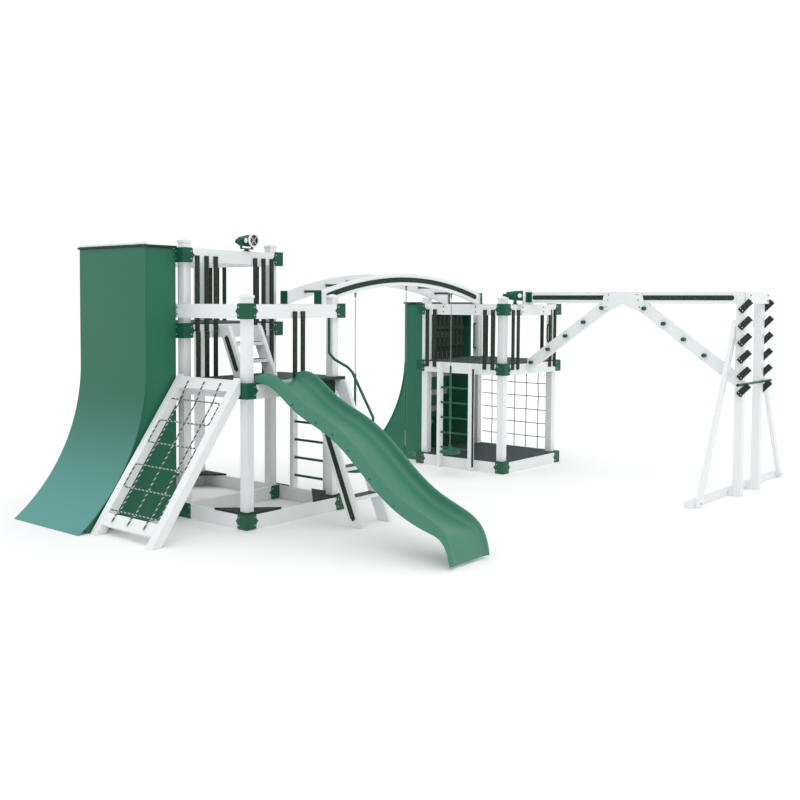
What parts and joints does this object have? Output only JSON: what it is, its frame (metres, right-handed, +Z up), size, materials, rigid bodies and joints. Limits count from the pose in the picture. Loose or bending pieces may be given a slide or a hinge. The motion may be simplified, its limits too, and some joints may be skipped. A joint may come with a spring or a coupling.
{
  "type": "monkey bars",
  "caption": "Climbing frame of two deck towers joined by arched monkey bars, with disc swings, slide, ladders, curved climbing walls, rope climber, peg beam and pull-bar ladder.",
  "frame": {"origin": "on the ground under the middle of the whole set's bounding box", "axes": "+X along the arched bridge from the taller tower to the far tower, -Y towards the slide, +Z up"},
  "size_m": [8.5472, 5.9598, 3.1768],
  "materials": {
    "white_vinyl": "smooth white vinyl over timber",
    "dark_green": "speckled dark green composite",
    "bracket_green": "moulded green plastic",
    "slide_green": "moulded green plastic, satin",
    "wall_green": "smooth green sheet",
    "side_green": "dark green panel",
    "deck_mat": "slate rubber matting",
    "timber": "bare treated timber",
    "rope": "green and white twisted rope",
    "net_rope": "thin grey green rope",
    "galvanised": "galvanised steel",
    "black_plastic": "black plastic",
    "white_trim": "white ring, black lens and eyepiece",
    "tube_green": "green powder coated tube"
  },
  "bodies": {
    "frame": {"a_frame": "white_vinyl", "arch_rails": "white_vinyl", "arch_rungs": "tube_green", "balusters": "dark_green", "base_boards": "white_vinyl", "beam_brackets": "bracket_green", "beam_mounts": "white_vinyl", "bracket_screws": "galvanised", "climber_frame": "white_vinyl", "climber_net": "rope", "climbing_pegs": "tube_green", "corner_brackets": "bracket_green", "corner_seats": "dark_green", "deck_boards": "white_vinyl", "deck_mats": "deck_mat", "deck_planks": "timber", "frame_bolts": "galvanised", "grab_handles": "tube_green", "ladder_inserts": "dark_green", "ladder_stringers": "white_vinyl", "ladder_treads": "white_vinyl", "landing_board": "dark_green", "peg_beam": "white_vinyl", "peg_boards": "white_vinyl", "post_caps": "white_vinyl", "posts": "white_vinyl", "rail_inserts": "dark_green", "railing_boards": "white_vinyl", "rung_ladder_rungs": "tube_green", "rung_ladder_stringers": "white_vinyl", "salmon_hooks": "dark_green", "salmon_posts": "white_vinyl", "slat_screen": "dark_green", "slide": "slide_green", "stair_handrail": "tube_green", "swing_hangers": "galvanised", "telescope_bases": "bracket_green", "tower_net": "net_rope", "tread_grips": "black_plastic", "wall_platforms": "side_green", "wall_sheets": "wall_green", "wall_sides": "side_green", "wall_studs": "timber"},
    "swing_1_hook": {"swing_1_swivel": "galvanised"},
    "swing_1_drop": {"swing_1_chain": "galvanised", "swing_1_seat": "bracket_green"},
    "swing_2_hook": {"swing_2_swivel": "galvanised"},
    "swing_2_drop": {"swing_2_chain": "galvanised", "swing_2_seat": "bracket_green"},
    "swing_3_hook": {"swing_3_swivel": "galvanised"},
    "swing_3_drop": {"swing_3_chain": "galvanised", "swing_3_seat": "bracket_green"},
    "telescope_a_turntable": {"telescope_a_yoke": "bracket_green"},
    "telescope_a_tube": {"telescope_a_barrel": "bracket_green", "telescope_a_trim": "white_trim"},
    "telescope_b_turntable": {"telescope_b_yoke": "bracket_green"},
    "telescope_b_tube": {"telescope_b_barrel": "bracket_green", "telescope_b_trim": "white_trim"},
    "pull_bar": {"salmon_bar": "tube_green", "salmon_bar_caps": "black_plastic"}
  },
  "joints": [
    {"name": "swing_1_along", "type": "hinge", "parent": "frame", "child": "swing_1_hook", "pos_m": [-0.84455, 0.6736, 2.48151], "axis": [0, 1, 0], "range_deg": [-18, 9]},
    {"name": "swing_1_across", "type": "hinge", "parent": "swing_1_hook", "child": "swing_1_drop", "pos_m": [-0.84455, 0.6736, 2.45551], "axis": [1, 0, 0], "range_deg": [-45, 45]},
    {"name": "swing_2_along", "type": "hinge", "parent": "frame", "child": "swing_2_hook", "pos_m": [0.14605, 0.6736, 2.57442], "axis": [0, 1, 0], "range_deg": [-18, 18]},
    {"name": "swing_2_across", "type": "hinge", "parent": "swing_2_hook", "child": "swing_2_drop", "pos_m": [0.14605, 0.6736, 2.54842], "axis": [1, 0, 0], "range_deg": [-45, 45]},
    {"name": "swing_3_along", "type": "hinge", "parent": "frame", "child": "swing_3_hook", "pos_m": [1.13665, 0.6736, 2.48151], "axis": [0, 1, 0], "range_deg": [-9, 18]},
    {"name": "swing_3_across", "type": "hinge", "parent": "swing_3_hook", "child": "swing_3_drop", "pos_m": [1.13665, 0.6736, 2.45551], "axis": [1, 0, 0], "range_deg": [-45, 45]},
    {"name": "telescope_a_pan", "type": "hinge", "parent": "frame", "child": "telescope_a_turntable", "pos_m": [-2.01295, 1.34162, 2.9718], "axis": [0, 0, 1], "range_deg": [-150, 150]},
    {"name": "telescope_a_tilt", "type": "hinge", "parent": "telescope_a_turntable", "child": "telescope_a_tube", "pos_m": [-2.01295, 1.34162, 3.0958], "axis": [1, 0, 0], "range_deg": [-30, 15]},
    {"name": "telescope_b_pan", "type": "hinge", "parent": "frame", "child": "telescope_b_turntable", "pos_m": [2.03835, 0.22402, 2.3622], "axis": [0, 0, 1], "range_deg": [-80, 5]},
    {"name": "telescope_b_tilt", "type": "hinge", "parent": "telescope_b_turntable", "child": "telescope_b_tube", "pos_m": [2.03835, 0.22402, 2.4862], "axis": [0.866, 0.5, 0], "range_deg": [-30, 15]},
    {"name": "pull_bar_lift", "type": "slide", "parent": "frame", "child": "pull_bar", "axis": [0, -0.7071, 0.7071], "range_m": [0, 0.09]}
  ]
}
